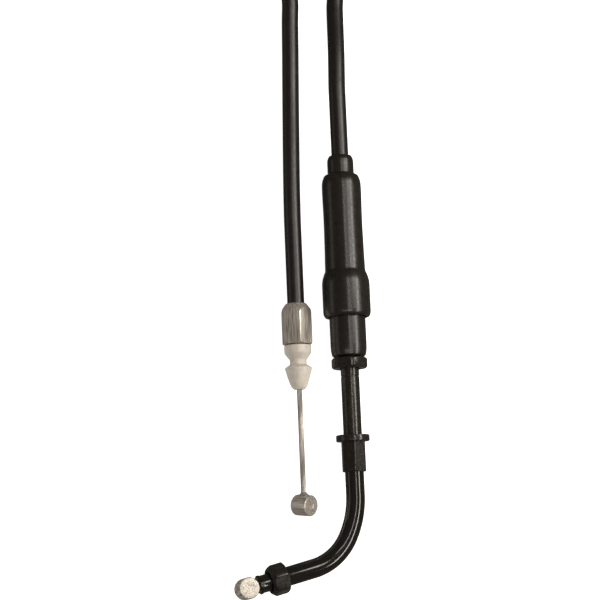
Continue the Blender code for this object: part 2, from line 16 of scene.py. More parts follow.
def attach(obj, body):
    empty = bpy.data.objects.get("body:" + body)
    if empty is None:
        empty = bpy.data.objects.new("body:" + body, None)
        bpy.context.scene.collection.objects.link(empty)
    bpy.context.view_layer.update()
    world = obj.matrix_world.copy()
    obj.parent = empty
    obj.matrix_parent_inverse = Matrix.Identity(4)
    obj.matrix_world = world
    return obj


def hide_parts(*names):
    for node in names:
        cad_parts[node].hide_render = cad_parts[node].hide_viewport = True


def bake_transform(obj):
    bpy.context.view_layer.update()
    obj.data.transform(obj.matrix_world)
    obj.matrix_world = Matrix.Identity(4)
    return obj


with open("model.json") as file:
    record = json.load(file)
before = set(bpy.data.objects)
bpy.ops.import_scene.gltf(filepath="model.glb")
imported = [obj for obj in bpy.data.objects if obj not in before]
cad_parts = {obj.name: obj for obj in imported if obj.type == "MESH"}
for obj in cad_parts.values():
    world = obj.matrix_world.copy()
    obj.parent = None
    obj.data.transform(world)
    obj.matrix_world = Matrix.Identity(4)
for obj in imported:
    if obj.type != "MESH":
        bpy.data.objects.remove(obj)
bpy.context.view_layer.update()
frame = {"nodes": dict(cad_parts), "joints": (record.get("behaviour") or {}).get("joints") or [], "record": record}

MM = 0.001
GAP = 0.3  # mm, what the CAD solids keep between pieces that touch
SMOOTH_SEGMENTS = 96
CORNER_STEPS = 4
MOST_ROUNDING = 0.48  # share of a side, so that the roundings at its two ends never meet
SHARP_ANGLE = math.radians(34)

JOINTS = {joint["name"]: joint for joint in frame["joints"]}
AXIS = Vector(JOINTS["adjuster_turn"]["axis"])
EXIT = Vector(JOINTS["union_nut_turn"]["axis"])
GRIP_ORIGIN = Vector(JOINTS["adjuster_turn"]["pos_m"])
BEND_END = Vector(JOINTS["union_nut_turn"]["pos_m"])
CARB_ORIGIN = Vector((-1.87, -1.7, 4.7)) * MM
PULL = JOINTS["grip_pull"]["range_m"][1]

# The cable, from the ferrule to the upper boot, and its coil.
CABLE_RADIUS = 2.5 * MM
CABLE_BORE = 2.05 * MM  # only in its straight ends, round the winding of the CAD model
CABLE_SIDES = 28
CORD_START = 6.6 * MM
CORD_STRAIGHT = 36.8 * MM
CORD_REJOIN = 80.3 * MM
CORD_END = 36.0 * MM
COIL_CENTRE = Vector((2.55, 141.2, 7.1)) * MM
COIL_MEAN_RADIUS = 25.0 * MM
STRAND_OFFSET = 3.6 * MM
STRAND_START = math.radians(-60)
STRAND_LAG = math.radians(-90)
COIL_START = math.radians(234.9)
COIL_END = math.radians(304.5)
COIL_LAPS = 3
COIL_SWEEP = (COIL_START - COIL_END) % math.tau + COIL_LAPS * math.tau
POINTS_PER_LAP = 16
CURVE_SAMPLES = 8
ROUTE_LEFT = [
    (-0.0036, 0.0441, 0.0046),
    (-0.00377, 0.0561, 0.0038),
    (-0.00393, 0.0711, 0.0028),
    (-0.00405, 0.0861, 0.00255),
    (-0.00415, 0.0961, 0.0026),
    (-0.00415, 0.1025, 0.0028),
    (-0.00505, 0.1085, 0.00315),
    (-0.0085, 0.1151, 0.0036),
]
ROUTE_RIGHT = [
    (0.01365, 0.1142, 0.0039),
    (0.0102, 0.10755, 0.0035),
    (0.0093, 0.1016, 0.0037),
    (0.00935, 0.0951, 0.0045),
    (0.0096, 0.0851, 0.006),
]
OUTLINE_STEPS = 72
TIE_ANGLES = {"left": math.radians(160), "right": math.radians(20)}
TIE_WIDTH = 2.5 * MM
TIE_THICKNESS = 0.6 * MM
TIE_CLEARANCE = 0.05 * MM
TIE_HEAD = Vector((3.0, 4.4, 3.2)) * MM
TIE_HEAD_BEVEL = 0.35 * MM
TIE_TAIL = Vector((0.9, 2.4, 1.5)) * MM
TIE_TAIL_BEVEL = 0.15 * MM
TIE_HEAD_PLACE = Vector((1.2, 0, 0)) * MM  # from the strap's outside
TIE_TAIL_PLACE = Vector((1.2, 0, 2.1)) * MM

# The bent pipe, whose bend tightens once on its way.
BEND_START = -39.5 * MM
BEND_SEGMENTS = 14
BEND_REFINE = 4
FIRST_BEND_RADIUS = 26.0 * MM
FIRST_BEND_ANGLE = math.radians(29)
SECOND_BEND_RADIUS = 16.0 * MM
PIPE_TOP = -28.3 * MM
PIPE_RADIUS = 2.7 * MM
PIPE_BORE = 1.6 * MM
MOUTH_REACH = 17.0 * MM

WIRE_RADIUS = 0.78 * MM
STRANDS = 12
STRAND_SIDES = 6
STRAND_RADIUS = WIRE_RADIUS / 5
WIRE_CORE_RADIUS = WIRE_RADIUS - 1.6 * STRAND_RADIUS  # the strands sink a little into it
WIRE_LAY = 9.0 * MM
CARB_WIRE_TOP = 6.0 * MM
CARB_WIRE_STEP = 0.5 * MM
GRIP_WIRE_TOP = 34.0 * MM
GRIP_WIRE_STEP = 0.25 * MM  # where it shows, past the bend
NIPPLE_RADIUS = 3.0
NIPPLE_HALF_LENGTH = 2.75
CARB_NIPPLE_STATION = -46.3 * MM
CARB_NIPPLE_TURN = Euler((0, math.radians(96), math.radians(49.5)))
GRIP_NIPPLE_REACH = MOUTH_REACH + (GAP + NIPPLE_RADIUS) * MM
GRIP_NIPPLE_TURN = Euler((0, math.radians(90), 0))

# The photograph's view: nearly straight down, with the ends towards the bottom.
CAMERA_TARGET = Vector((-1.15, 11.3, 5.0)) * MM
CAMERA_ELEVATION = math.radians(81)
CAMERA_DISTANCE = 0.48
CAMERA_LENS = 99.07

# Each lamp's name, offset from the camera's target, length and height in metres, and watts.
LAMPS = [
    ("side_strip", (0.98, 0.05, 0.69), (1.2, 0.15), 9.5),
    ("top_strip", (0.3, 0.05, 1.15), (1.2, 0.08), 3.2),
    ("front_strip", (0, -0.35, 1.1), (1.0, 0.05), 2),
    ("back_box", (0.72, 0.42, 1.0), (0.3, 0.3), 3),
    ("fill", (-1.1, -0.1, 0.25), (1.0, 0.3), 0.8),
]
LAMP_COLOUR = (1, 0.96, 0.9)
ROOM_COLOUR = (1, 0.94, 0.86)
ROOM_STRENGTH = 0.12
FLOOR_SIZE = 1.5
FLOOR_GLOW = 0.92


# ---------------------------------------------------------------- camera and stage


def add_camera():
    data = bpy.data.cameras.new("camera")
    data.lens = CAMERA_LENS
    data.clip_start = 0.01
    camera = bpy.data.objects.new("camera", data)
    bpy.context.scene.collection.objects.link(camera)
    back = Vector((0, -math.cos(CAMERA_ELEVATION), math.sin(CAMERA_ELEVATION)))
    camera.location = CAMERA_TARGET + back * CAMERA_DISTANCE
    camera.rotation_euler = (math.pi / 2 - CAMERA_ELEVATION, 0, 0)
    bpy.context.scene.camera = camera


def add_light(name, offset, size, energy):
    """A soft lamp aimed at the camera's target, with its length level."""
    data = bpy.data.lights.new(name, "AREA")
    data.shape = "RECTANGLE"
    data.size, data.size_y = size
    data.energy = energy
    data.color = LAMP_COLOUR
    lamp = bpy.data.objects.new(name, data)
    bpy.context.scene.collection.objects.link(lamp)
    lamp.location = CAMERA_TARGET + Vector(offset)
    lamp.rotation_euler = Vector(offset).to_track_quat("Z", "Y").to_euler()


def add_world():
    """A dim, warm room, with colours shown as they are."""
    world = bpy.data.worlds.new("studio")
    world.use_nodes = True
    background = world.node_tree.nodes["Background"]
    background.inputs["Color"].default_value = (*ROOM_COLOUR, 1)
    background.inputs["Strength"].default_value = ROOM_STRENGTH
    bpy.context.scene.world = world
    bpy.context.scene.view_settings.view_transform = "Standard"


def add_floor():
    """A pale sheet that glows a little, so that it stays pale beside the lit cable."""
    shape = bmesh.new()
    bmesh.ops.create_grid(shape, x_segments=8, y_segments=8, size=FLOOR_SIZE)
    mesh = bpy.data.meshes.new("floor")
    shape.to_mesh(mesh)
    shape.free()
    floor = bpy.data.objects.new("floor", mesh)
    bpy.context.scene.collection.objects.link(floor)
    material, tree, shader = new_material("floor_paper")
    shade = noise(tree, object_coordinates(tree), 0.05)
    tint(tree, shader.inputs["Base Color"], shade, (0.85, 0.85, 0.85), (0.88, 0.88, 0.88))
    shader.inputs["Roughness"].default_value = 0.9
    shader.inputs["Emission Color"].default_value = (1, 1, 1, 1)
    shader.inputs["Emission Strength"].default_value = FLOOR_GLOW
    mesh.materials.append(material)
    floor.visible_glossy = False


# ---------------------------------------------------------------- materials


def new_material(name):
    material = bpy.data.materials.new(name)
    material.use_nodes = True
    return material, material.node_tree, material.node_tree.nodes["Principled BSDF"]


def object_coordinates(tree, stretch=(1, 1, 1)):
    place = tree.nodes.new("ShaderNodeTexCoord")
    mapping = tree.nodes.new("ShaderNodeMapping")
    mapping.inputs["Scale"].default_value = stretch
    tree.links.new(place.outputs["Object"], mapping.inputs["Vector"])
    return mapping.outputs["Vector"]


def noise(tree, coordinates, size, detail=3.0):
    """Noise with blotches of about this size, from 0 to 1."""
    node = tree.nodes.new("ShaderNodeTexNoise")
    node.inputs["Scale"].default_value = 1 / size
    node.inputs["Detail"].default_value = detail
    tree.links.new(coordinates, node.inputs["Vector"])
    return node.outputs["Fac"]


def spread(tree, target, factor, low, high):
    """Feeds target with low to high, as the factor goes over the middle of its range."""
    node = tree.nodes.new("ShaderNodeMapRange")
    node.inputs["From Min"].default_value = 0.3
    node.inputs["From Max"].default_value = 0.7
    node.inputs["To Min"].default_value = low
    node.inputs["To Max"].default_value = high
    tree.links.new(factor, node.inputs["Value"])
    tree.links.new(node.outputs["Result"], target)


def tint(tree, target, factor, dark, light):
    node = tree.nodes.new("ShaderNodeMix")
    node.data_type = "RGBA"
    colours = [socket for socket in node.inputs if socket.type == "RGBA"]
    colours[0].default_value = (*dark, 1)
    colours[1].default_value = (*light, 1)
    spread(tree, node.inputs["Factor"], factor, 0, 1)
    tree.links.new([socket for socket in node.outputs if socket.type == "RGBA"][0], target)


def grain(tree, shader, height, depth):
    """Bumps of this depth on the shader's surface."""
    node = tree.nodes.new("ShaderNodeBump")
    node.inputs["Strength"].default_value = 1
    node.inputs["Distance"].default_value = depth
    tree.links.new(height, node.inputs["Height"])
    tree.links.new(node.outputs["Normal"], shader.inputs["Normal"])


def surface(name, colours, roughness, patch, bumps, metallic=0.0, stretch=(1, 1, 1)):
    """A finish: two colours in patches, a range of roughness, and bumps of (size, depth)."""
    material, tree, shader = new_material(name)
    plain = object_coordinates(tree)
    drawn = object_coordinates(tree, stretch)
    tint(tree, shader.inputs["Base Color"], noise(tree, drawn, patch), *colours)
    spread(tree, shader.inputs["Roughness"], noise(tree, plain, patch * 0.7), *roughness)
    bump_size, bump_depth = bumps
    grain(tree, shader, noise(tree, drawn, bump_size, 1.0), bump_depth)
    shader.inputs["Metallic"].default_value = metallic
    return material


def make_materials():
    along = (1, 1, 0.06)
    return {
        "black_rubber": surface(
            "black_rubber", ((0.008, 0.0063, 0.0046), (0.014, 0.0112, 0.0085)), (0.26, 0.34),
            1.6 * MM, (0.4 * MM, 0.002 * MM),
        ),
        "black_vinyl": surface(
            "black_vinyl", ((0.006, 0.0048, 0.0036), (0.011, 0.0088, 0.0066)), (0.3, 0.38),
            3 * MM, (0.6 * MM, 0.002 * MM),
        ),
        "black_paint": surface(
            "black_paint", ((0.005, 0.004, 0.003), (0.01, 0.008, 0.006)), (0.1, 0.17),
            2 * MM, (1.1 * MM, 0.006 * MM),
        ),
        "black_plating": surface(
            "black_plating", ((0.009, 0.0072, 0.0054), (0.024, 0.019, 0.0145)), (0.17, 0.28),
            0.9 * MM, (0.2 * MM, 0.0015 * MM), 0.15,
        ),
        "zinc": surface(
            "zinc", ((0.24, 0.208, 0.176), (0.76, 0.7, 0.62)), (0.28, 0.42),
            0.3 * MM, (0.12 * MM, 0.006 * MM), 0.6, along,
        ),
        "steel": surface(
            "steel", ((0.36, 0.33, 0.29), (0.58, 0.54, 0.49)), (0.36, 0.48),
            0.5 * MM, (0.1 * MM, 0.002 * MM), 0.7, along,
        ),
        "nylon": surface(
            "nylon", ((0.55, 0.5, 0.435), (0.65, 0.595, 0.525)), (0.36, 0.48),
            1.5 * MM, (0.3 * MM, 0.008 * MM),
        ),
        "white_liner": surface(
            "white_liner", ((0.74, 0.74, 0.72), (0.82, 0.82, 0.8)), (0.35, 0.45),
            1.0 * MM, (0.3 * MM, 0.005 * MM),
        ),
        "tie_plastic": surface(
            "tie_plastic", ((0.02, 0.02, 0.02), (0.034, 0.034, 0.034)), (0.4, 0.52),
            1.2 * MM, (0.25 * MM, 0.01 * MM),
        ),
    }


# ---------------------------------------------------------------- shapes


def axis_matrix(origin, direction):
    """Z runs along direction, X leans as far up as it can, and Y is to the right."""
    along = direction.normalized()
    upward = Vector((0, 0, 1)) - along * along.z
    upward.normalize()
    across = along.cross(upward)
    return Matrix.Translation(origin) @ Matrix((upward, across, along)).transposed().to_4x4()


def skin(shape, rings, closed=False):
    """Faces between each ring and the next one, and from the last to the first if closed."""
    following = rings[1:] + rings[:1] if closed else rings[1:]
    for ring, other in zip(rings, following):
        for side in range(len(ring)):
            after = (side + 1) % len(ring)
            shape.faces.new((ring[side], ring[after], other[after], other[side]))


def rounded(profile):
    """The points of a closed (radius, station, rounding) profile with its corners rounded."""
    points = []
    for index, (radius, station, rounding) in enumerate(profile):
        corner = Vector((radius, station)) * MM
        if not rounding:
            points.append(corner)
            continue
        before = Vector(profile[index - 1][:2]) * MM - corner
        after = Vector(profile[(index + 1) % len(profile)][:2]) * MM - corner
        start = corner + before.normalized() * min(rounding * MM, MOST_ROUNDING * before.length)
        end = corner + after.normalized() * min(rounding * MM, MOST_ROUNDING * after.length)
        for step in range(CORNER_STEPS + 1):
            t = step / CORNER_STEPS
            points.append(start * (1 - t) ** 2 + corner * (2 * t * (1 - t)) + end * t**2)
    return points


def lathe(shape, profile, segments=SMOOTH_SEGMENTS, seam=0.0):
    """Turns the profile round Z. A seam is a moulding line that stands this high on two sides."""
    bore = min(radius for radius, _, _ in profile) * MM
    rings = []
    for radius, station in rounded(profile):
        ring = []
        for side in range(segments):
            angle = math.tau * side / segments
            raised = seam * MM if side % (segments // 2) == 0 and radius > bore * 1.3 else 0
            reach = radius + raised
            ring.append(shape.verts.new((reach * math.cos(angle), reach * math.sin(angle), station)))
        rings.append(ring)
    skin(shape, rings, closed=True)
    bmesh.ops.remove_doubles(shape, verts=shape.verts, dist=1e-7)
    bmesh.ops.recalc_face_normals(shape, faces=shape.faces)
    return shape


def scratch_object(shape):
    mesh = bpy.data.meshes.new("scratch")
    shape.to_mesh(mesh)
    shape.free()
    obj = bpy.data.objects.new("scratch", mesh)
    bpy.context.scene.collection.objects.link(obj)
    return obj


def combined(first, second, operation):
    """The Boolean of two shapes, as a new one."""
    body, cutter = scratch_object(first), scratch_object(second)
    boolean = body.modifiers.new("boolean", "BOOLEAN")
    boolean.operation = operation
    boolean.solver = "EXACT"
    boolean.object = cutter
    bpy.context.view_layer.update()
    evaluated = body.evaluated_get(bpy.context.evaluated_depsgraph_get())
    result = bmesh.new()
    result.from_mesh(evaluated.to_mesh())
    evaluated.to_mesh_clear()
    for obj in (body, cutter):
        mesh = obj.data
        bpy.data.objects.remove(obj)
        bpy.data.meshes.remove(mesh)
    return result


def hexagonal(profile, across_flats, twist, edge=0.12):
    """A turned shape cut to a hexagon, whose six long edges are softened."""
    shape = lathe(bmesh.new(), profile, 2 * SMOOTH_SEGMENTS)
    stations = [station for _, station, _ in profile]
    corner_radius = across_flats / 2 / math.cos(math.pi / 6) * MM
    prism = bmesh.new()
    bmesh.ops.create_cone(
        prism,
        cap_ends=True,
        segments=6,
        radius1=corner_radius,
        radius2=corner_radius,
        depth=(max(stations) - min(stations) + 2) * MM,
    )
    upright = [side for side in prism.edges if abs((side.verts[0].co - side.verts[1].co).z) > MM]
    bmesh.ops.bevel(prism, geom=upright, offset=edge * MM, segments=4, profile=0.5, affect="EDGES")
    middle = (max(stations) + min(stations)) / 2 * MM
    turn = Matrix.Translation((0, 0, middle)) @ Matrix.Rotation(twist + math.pi / 2, 4, "Z")
    bmesh.ops.transform(prism, matrix=turn, verts=prism.verts)
    return combined(shape, prism, "INTERSECT")


def carried_frames(points):
    """(point, across, upward) at each point of a path, carried along without twisting."""
    frames = []
    across = None
    for index, point in enumerate(points):
        before = points[max(index - 1, 0)]
        after = points[min(index + 1, len(points) - 1)]
        heading = (after - before).normalized()
        if across is None:
            across = heading.orthogonal()
        across = (across - heading * across.dot(heading)).normalized()
        frames.append((point, across, heading.cross(across)))
    return frames


def ring_at(shape, place, radius, sides):
    point, across, upward = place
    ring = []
    for side in range(sides):
        angle = math.tau * side / sides
        offset = across * math.cos(angle) + upward * math.sin(angle)
        ring.append(shape.verts.new(point + offset * radius))
    return ring


def tube(shape, points, radius, sides):
    """A solid round bar along the points."""
    rings = [ring_at(shape, place, radius, sides) for place in carried_frames(points)]
    skin(shape, rings)
    shape.faces.new(rings[0][::-1])
    shape.faces.new(rings[-1])


def pipe(shape, points, radii, bore, sides):
    """A hollow bar along the points, with an outer radius at each of them."""
    places = carried_frames(points)
    rings = [ring_at(shape, place, radius, sides) for place, radius in zip(places, radii)]
    rings += [ring_at(shape, place, bore, sides) for place in reversed(places)]
    skin(shape, rings, closed=True)
    bmesh.ops.recalc_face_normals(shape, faces=shape.faces)


def wire_rope(shape, points, turns):
    """A core and a layer of strands wound round it, by this many radians at each point."""
    tube(shape, points, WIRE_CORE_RADIUS, 2 * STRAND_SIDES)
    places = carried_frames(points)
    for number in range(STRANDS):
        line = []
        for (point, across, upward), turn in zip(places, turns):
            angle = turn + math.tau * number / STRANDS
            offset = across * math.cos(angle) + upward * math.sin(angle)
            line.append(point + offset * (WIRE_RADIUS - STRAND_RADIUS))
        tube(shape, line, STRAND_RADIUS, STRAND_SIDES)


def straight_points(matrix, bottom, top, step):
    count = math.ceil(abs(top - bottom) / step)
    return [matrix @ Vector((0, 0, bottom + (top - bottom) * i / count)) for i in range(count + 1)]


def thread(shape, crest, root, bore, bottom, top, pitch=1.0, steps=48):
    """An outside screw thread on a tube, run out to its root at both ends, all in mm."""
    profile = [(0.0, 0), (0.3, 1), (0.45, 1), (0.75, 0)]  # share of the pitch, and of the height
    turns = (top - bottom) / pitch - 1
    count = int(turns * steps)
    rows = []
    for index in range(count + 1):
        angle = math.tau * index / steps
        share = min(1.0, index / steps, (count - index) / steps)
        row = []
        for along, height in profile:
            radius = root + (crest - root) * height * share
            station = bottom + (index / steps + along) * pitch
            row.append(
                shape.verts.new(
                    (radius * math.cos(angle) * MM, radius * math.sin(angle) * MM, station * MM)
                )
            )
        rows.append(row)
    for index in range(count):
        row, following = rows[index], rows[index + 1]
        for number in range(len(profile) - 1):
            shape.faces.new((row[number], following[number], following[number + 1], row[number + 1]))
        if index + steps <= count:
            above, above_next = rows[index + steps], rows[min(index + steps + 1, count)]
            if above is not above_next:
                shape.faces.new((row[-1], following[-1], above_next[0], above[0]))
    lathe(shape, [(root, top, 0.1), (root, bottom, 0), (bore, bottom, 0), (bore, top, 0.1)])


def finished_object(name, shape, finish):
    """A smooth-shaded object of this shape and finish."""
    mesh = bpy.data.meshes.new(name)
    shape.to_mesh(mesh)
    shape.free()
    mesh.shade_smooth()
    mesh.materials.append(materials[finish])
    piece = bpy.data.objects.new(name, mesh)
    bpy.context.scene.collection.objects.link(piece)
    return piece


def add_piece(name, shape, finish, body, matrix=None, stands_for=()):
    """A piece that rides a body and, with stands_for, takes the place of CAD nodes."""
    piece = finished_object(name, shape, finish)
    piece.data.set_sharp_from_angle(angle=SHARP_ANGLE)
    piece.matrix_world = matrix or Matrix.Identity(4)
    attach(piece, body)
    if stands_for:
        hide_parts(*stands_for)
    return piece


def turned_piece(name, profile, finish, body, matrix, stands_for=(), seam=0.0):
    shape = lathe(bmesh.new(), profile, seam=seam)
    return add_piece(name, shape, finish, body, matrix, stands_for)


# ---------------------------------------------------------------- the cable and its coil


def smooth_curve(points):
    """Points along a Catmull-Rom curve through the given points."""
    ends = [points[0] * 2 - points[1], *points, points[-1] * 2 - points[-2]]
    curve = []
    for before, start, end, after in zip(ends, ends[1:], ends[2:], ends[3:]):
        for index in range(CURVE_SAMPLES):
            t = index / CURVE_SAMPLES
            curve.append(
                start
                + (end - before) * (t / 2)
                + (before * 2 - start * 5 + end * 4 - after) * (t**2 / 2)
                + (start * 3 - before - end * 3 + after) * (t**3 / 2)
            )
    return [*curve, points[-1]]


def coil_point(travelled):
    """The cable's middle, this many radians into the coil: clockwise, each lap a quarter turn on."""
    around = COIL_START - travelled
    strand = STRAND_START + STRAND_LAG * travelled / math.tau
    radius = COIL_MEAN_RADIUS + STRAND_OFFSET * math.cos(strand)
    height = STRAND_OFFSET * math.sin(strand)
    return COIL_CENTRE + Vector((radius * math.cos(around), radius * math.sin(around), height))


def cable_path():
    """The cable's middle line, and how many of its points lie in the straight run at each end."""
    count = round(COIL_SWEEP / math.tau * POINTS_PER_LAP)
    coil = [coil_point(COIL_SWEEP * index / count) for index in range(count + 1)]
    left = [Vector(point) for point in ROUTE_LEFT]
    right = [Vector(point) for point in ROUTE_RIGHT]
    start = carb @ Vector((0, 0, CORD_STRAIGHT))
    end = grip @ Vector((0, 0, CORD_REJOIN))
    route = smooth_curve([start, *left, *coil, *right, end])
    step = 3 * MM
    into_ferrule = straight_points(carb, CORD_START, CORD_STRAIGHT, step)
    into_barrel = straight_points(grip, CORD_REJOIN, CORD_END, step)
    path = [*into_ferrule[:-1], *route, *into_barrel[1:]]
    return path, len(into_ferrule), len(into_barrel)


def cable_cover(shape, points, bored_first, bored_last):
    """A round bar, hollow over this many points at each end, where its layers are modelled."""
    places = carried_frames(points)
    inside = [ring_at(shape, place, CABLE_BORE, CABLE_SIDES) for place in places[:bored_first]]
    rings = inside[::-1]
    rings += [ring_at(shape, place, CABLE_RADIUS, CABLE_SIDES) for place in places]
    rings += [ring_at(shape, place, CABLE_BORE, CABLE_SIDES) for place in places[: -bored_last - 1 : -1]]
    skin(shape, rings)
    shape.faces.new(rings[0][::-1])
    shape.faces.new(rings[-1])


def add_cable():
    path, bored_first, bored_last = cable_path()
    shape = bmesh.new()
    cable_cover(shape, path, bored_first, bored_last)
    replaced = ("cable_run_left", "cable_coil", "cable_run_right", "carb_cover", "grip_cover")
    cable = add_piece("outer_cable", shape, "black_vinyl", "cable", None, replaced)
    ties = [add_tie(side, angle) for side, angle in TIE_ANGLES.items()]


def bundle_outline(angle, clearance):
    """The taut outline round the coil's strands at this angle, as (outward, height) points."""
    strands = []
    travelled = (COIL_START - angle) % math.tau
    while travelled <= COIL_SWEEP:
        strand = STRAND_START + STRAND_LAG * travelled / math.tau
        strands.append(Vector((math.cos(strand), math.sin(strand))) * STRAND_OFFSET)
        travelled += math.tau
    outline = []
    for step in range(OUTLINE_STEPS):
        facing_angle = math.tau * step / OUTLINE_STEPS
        facing = Vector((math.cos(facing_angle), math.sin(facing_angle)))
        furthest = max(strands, key=lambda strand: strand.dot(facing))
        outline.append(furthest + facing * (CABLE_RADIUS + clearance))
    return outline


def tie_strap(shape, angle):
    """A flat strap with fine ribs across it, drawn taut round the bundle."""
    inner = bundle_outline(angle, TIE_CLEARANCE)
    outer = bundle_outline(angle, TIE_CLEARANCE + TIE_THICKNESS)
    half = TIE_WIDTH / 2
    rings = []
    for index, (near, far) in enumerate(zip(inner, outer)):
        edge = far + (near - far) * 0.25
        rib = far + (near - far) * (0.12 if index % 2 else 0)
        section = [
            (near, -half),
            (edge, -half),
            (rib, -half * 0.8),
            (rib, half * 0.8),
            (edge, half),
            (near, half),
        ]
        rings.append([shape.verts.new((place.x, across, place.y)) for place, across in section])
    skin(shape, rings, closed=True)


def bevelled_box(shape, size, centre, bevel):
    """A box with its edges rounded by the bevel, all in metres."""
    made = bmesh.ops.create_cube(shape, size=1)["verts"]
    place = Matrix.Translation(centre) @ Matrix.Diagonal((*size, 1))
    bmesh.ops.transform(shape, matrix=place, verts=made)
    edges = list({edge for vert in made for edge in vert.link_edges})
    bmesh.ops.bevel(shape, geom=edges, offset=bevel, segments=3, profile=0.5, affect="EDGES")


def add_tie(side, angle):
    """A cable tie whose locking head stands out on the coil's outer side."""
    shape = bmesh.new()
    tie_strap(shape, angle)
    rim = Vector((max(point.x for point in bundle_outline(angle, TIE_THICKNESS)), 0, 0))
    bevelled_box(shape, TIE_HEAD, rim + TIE_HEAD_PLACE, TIE_HEAD_BEVEL)
    bevelled_box(shape, TIE_TAIL, rim + TIE_TAIL_PLACE, TIE_TAIL_BEVEL)
    bmesh.ops.recalc_face_normals(shape, faces=shape.faces)
    outward = Vector((math.cos(angle), math.sin(angle), 0))
    matrix = Matrix.Translation(COIL_CENTRE + outward * COIL_MEAN_RADIUS)
    matrix = matrix @ Matrix.Rotation(angle, 4, "Z")
    name = f"coil_strap_{side}"
    return add_piece(name, shape, "tie_plastic", "cable", matrix, (f"coil_tie_{side}",))


# ---------------------------------------------------------------- carburettor end


def add_snap_fitting():
    profile = [
        (2.2, 5.0, 0.15),
        (2.2, -0.3, 0),
        (3.92, -0.3, 0.25),
        (3.92, -2.6, 0.4),
        (2.72, -4.2, 0.25),
        (2.47, -4.6, 0.25),
        (2.47, -5.9, 0.15),
        (3.83, -6.75, 0.05),
        (3.98, -7.0, 0.12),
        (3.22, -9.75, 0.9),
        (2.55, -11.8, 0.6),
        (2.15, -12.6, 0.4),
        (1.6, -13.1, 0.15),
        (1.1, -13.1, 0.12),
        (1.1, 5.0, 0),
    ]
    turned_piece("nylon_fitting", profile, "nylon", "cable", carb, ("snap_fitting",), seam=0.05)


def add_ferrule():
    profile = [
        (3.0, 11.9, 0.12),
        (3.4, 11.4, 0.25),
        (4.0, 10.6, 0.45),
        (4.4, 9.8, 0.45),
        (4.6, 9.0, 0.5),
        (4.6, 0.4, 0.1),
        (4.15, 0, 0.1),
        (2.5, 0, 0.1),
        (2.5, 5.3, 0),
        (1.1, 5.3, 0),
        (1.1, 6.2, 0),
        (2.62, 6.2, 0),
        (2.62, 11.9, 0.12),
    ]
    shape = hexagonal(profile, 8.0, math.radians(12))
    add_piece("zinc_ferrule", shape, "zinc", "cable", carb, ("carb_ferrule",))


def nipple_matrix(base, station, turn):
    return base @ Matrix.Translation((0, 0, station)) @ turn.to_matrix().to_4x4()


def add_nipple(name, body, base, station, turn, wire_side, node):
    """A cast barrel with a shallow gate mark, and solder on the side (1 or -1) of its wire."""
    half = NIPPLE_HALF_LENGTH
    rim = NIPPLE_RADIUS
    shape = bmesh.new()
    profile = [
        (0, half - 0.06, 0),
        (0.8, half - 0.06, 0.05),
        (0.9, half, 0.05),
        (rim - 0.28, half, 0.08),
        (rim, half - 0.28, 0.08),
        (rim, 0.28 - half, 0.08),
        (rim - 0.28, -half, 0.08),
        (0, -half, 0),
    ]
    lathe(shape, profile)
    add_piece(name, shape, "zinc", body, nipple_matrix(base, station, turn), (node,))
    solder = [(0.8, 3.75, 0.05), (1.05, 3.3, 0.15), (1.75, 2.75, 0.1), (0.7, 2.4, 0.1)]
    side = Matrix.Translation((0, 0, station)) @ Matrix.Diagonal((1, 1, wire_side, 1))
    collar = lathe(bmesh.new(), solder, SMOOTH_SEGMENTS // 2)
    bmesh.ops.transform(collar, matrix=side, verts=collar.verts)
    bmesh.ops.recalc_face_normals(collar, faces=collar.faces)
    add_piece(f"{name}_solder", collar, "steel", body, base)


def add_carburettor_wire():
    shape = bmesh.new()
    points = straight_points(Matrix.Identity(4), CARB_NIPPLE_STATION, CARB_WIRE_TOP, CARB_WIRE_STEP)
    turns = [math.tau * point.z / WIRE_LAY for point in points]
    wire_rope(shape, points, turns)
    add_piece("carb_rope", shape, "steel", "carb_end", carb, ("carb_wire",))


def add_carburettor_end():
    add_snap_fitting()
    add_ferrule()
    add_carburettor_wire()
    add_nipple(
        "carb_barrel_nipple",
        "carb_end",
        carb,
        CARB_NIPPLE_STATION,
        CARB_NIPPLE_TURN,
        1,
        "carb_nipple",
    )


# ---------------------------------------------------------------- grip end


def add_barrel():
    profile = [(3.4, 44, 0.1), (3.8, 43.4, 0.2)]
    for station in (28.0, 26.0, 24.0):
        profile += [
            (3.8, station, 0.05),
            (3.55, station - 0.2, 0.05),
            (3.55, station - 0.8, 0.05),
            (3.8, station - 1.0, 0.05),
        ]
    profile += [
        (3.8, 0.2, 0.2),
        (3.3, 0.2, 0.1),
        (3.3, 22, 0),
        (1.1, 23.2, 0),
        (1.1, 25, 0),
        (3.35, 25, 0),
        (3.35, 42, 0),
        (2.8, 43, 0),
        (2.8, 44, 0.1),
    ]
    turned_piece("barrel", profile, "black_plating", "adjuster", grip, ("adjuster_barrel",))


